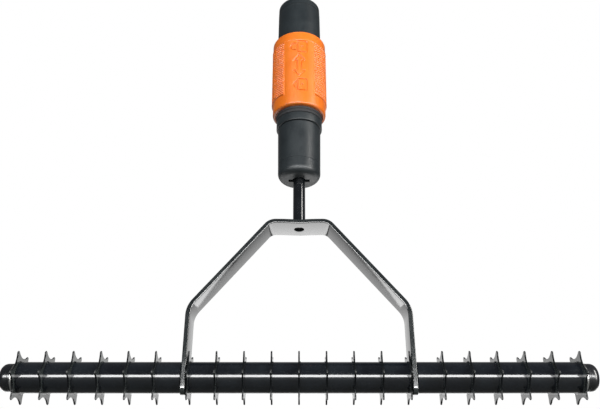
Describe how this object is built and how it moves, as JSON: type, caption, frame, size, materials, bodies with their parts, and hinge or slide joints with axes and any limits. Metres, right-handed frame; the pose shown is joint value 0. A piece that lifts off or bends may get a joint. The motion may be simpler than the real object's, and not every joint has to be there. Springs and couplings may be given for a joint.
{
  "type": "roller aerator head",
  "caption": "Roller head for opening a lawn's surface: toothed discs on free-turning tubes under a bent strap yoke, with a quick-lock socket for a long handle.",
  "frame": {"origin": "centre of the handle socket's mouth", "axes": "+Z out of the socket along the handle, X along the roller axle, Y across the strap"},
  "size_m": [0.4336, 0.0484, 0.3681],
  "materials": {
    "black_enamel": "gloss black baked enamel on a flat steel bar and rod",
    "tube_enamel": "gloss black baked enamel on steel tube",
    "disc_enamel": "gloss dark enamel on stamped steel sheet, worn at the tips",
    "cap_enamel": "black enamel on a pressed steel push-on cap",
    "bare_steel": "turned steel, zinc plated",
    "black_plastic": "fine spark-eroded grain on glass-filled nylon",
    "orange_plastic": "satin moulded plastic with a diamond knurl",
    "bush_plastic": "acetal bearing plastic",
    "black_rubber": "moulded wiper ring"
  },
  "bodies": {
    "frame": {"yoke": "black_enamel", "axle": "bare_steel", "rod": "black_enamel", "rod_weld": "black_enamel", "anchor_plate": "bare_steel", "socket_body": "black_plastic", "stop_ring": "black_plastic", "wiper_ring": "black_rubber", "socket_sleeve": "black_plastic", "washer_left": "bare_steel", "washer_right": "bare_steel", "cap_left": "cap_enamel", "cap_right": "cap_enamel"},
    "roller_left": {"tube_left": "tube_enamel", "weld_beads_left": "black_enamel", "bush_left_a": "bush_plastic", "bush_left_b": "bush_plastic", "disc_left_1": "disc_enamel", "disc_left_2": "disc_enamel", "disc_left_3": "disc_enamel", "disc_left_4": "disc_enamel", "disc_left_5": "disc_enamel", "disc_left_6": "disc_enamel"},
    "roller_centre": {"tube_centre": "tube_enamel", "weld_beads_centre": "black_enamel", "bush_centre_a": "bush_plastic", "bush_centre_b": "bush_plastic", "disc_centre_1": "disc_enamel", "disc_centre_2": "disc_enamel", "disc_centre_3": "disc_enamel", "disc_centre_4": "disc_enamel", "disc_centre_5": "disc_enamel", "disc_centre_6": "disc_enamel", "disc_centre_7": "disc_enamel", "disc_centre_8": "disc_enamel", "disc_centre_9": "disc_enamel"},
    "roller_right": {"tube_right": "tube_enamel", "weld_beads_right": "black_enamel", "bush_right_a": "bush_plastic", "bush_right_b": "bush_plastic", "disc_right_1": "disc_enamel", "disc_right_2": "disc_enamel", "disc_right_3": "disc_enamel", "disc_right_4": "disc_enamel", "disc_right_5": "disc_enamel", "disc_right_6": "disc_enamel"},
    "collar": {"lock_collar": "orange_plastic"},
    "pin_left": {"lock_pin_left": "bare_steel"},
    "pin_right": {"lock_pin_right": "bare_steel"}
  },
  "joints": [
    {"name": "roll_left", "type": "hinge", "parent": "frame", "child": "roller_left", "pos_m": [0, 0, -0.35], "axis": [1, 0, 0], "continuous": true},
    {"name": "roll_centre", "type": "hinge", "parent": "frame", "child": "roller_centre", "pos_m": [0, 0, -0.35], "axis": [1, 0, 0], "continuous": true},
    {"name": "roll_right", "type": "hinge", "parent": "frame", "child": "roller_right", "pos_m": [0, 0, -0.35], "axis": [1, 0, 0], "continuous": true},
    {"name": "collar_slide", "type": "slide", "parent": "frame", "child": "collar", "axis": [0, 0, 1], "range_m": [0, 0.008]},
    {"name": "pin_slide_left", "type": "slide", "parent": "frame", "child": "pin_left", "axis": [-1, 0, 0], "range_m": [0, 0.0015]},
    {"name": "pin_slide_right", "type": "slide", "parent": "frame", "child": "pin_right", "axis": [1, 0, 0], "range_m": [0, 0.0015]}
  ],
  "couplings": [
    {"joint": "pin_slide_left", "follows": "collar_slide", "ratio": 0.1875},
    {"joint": "pin_slide_right", "follows": "collar_slide", "ratio": 0.1875}
  ]
}
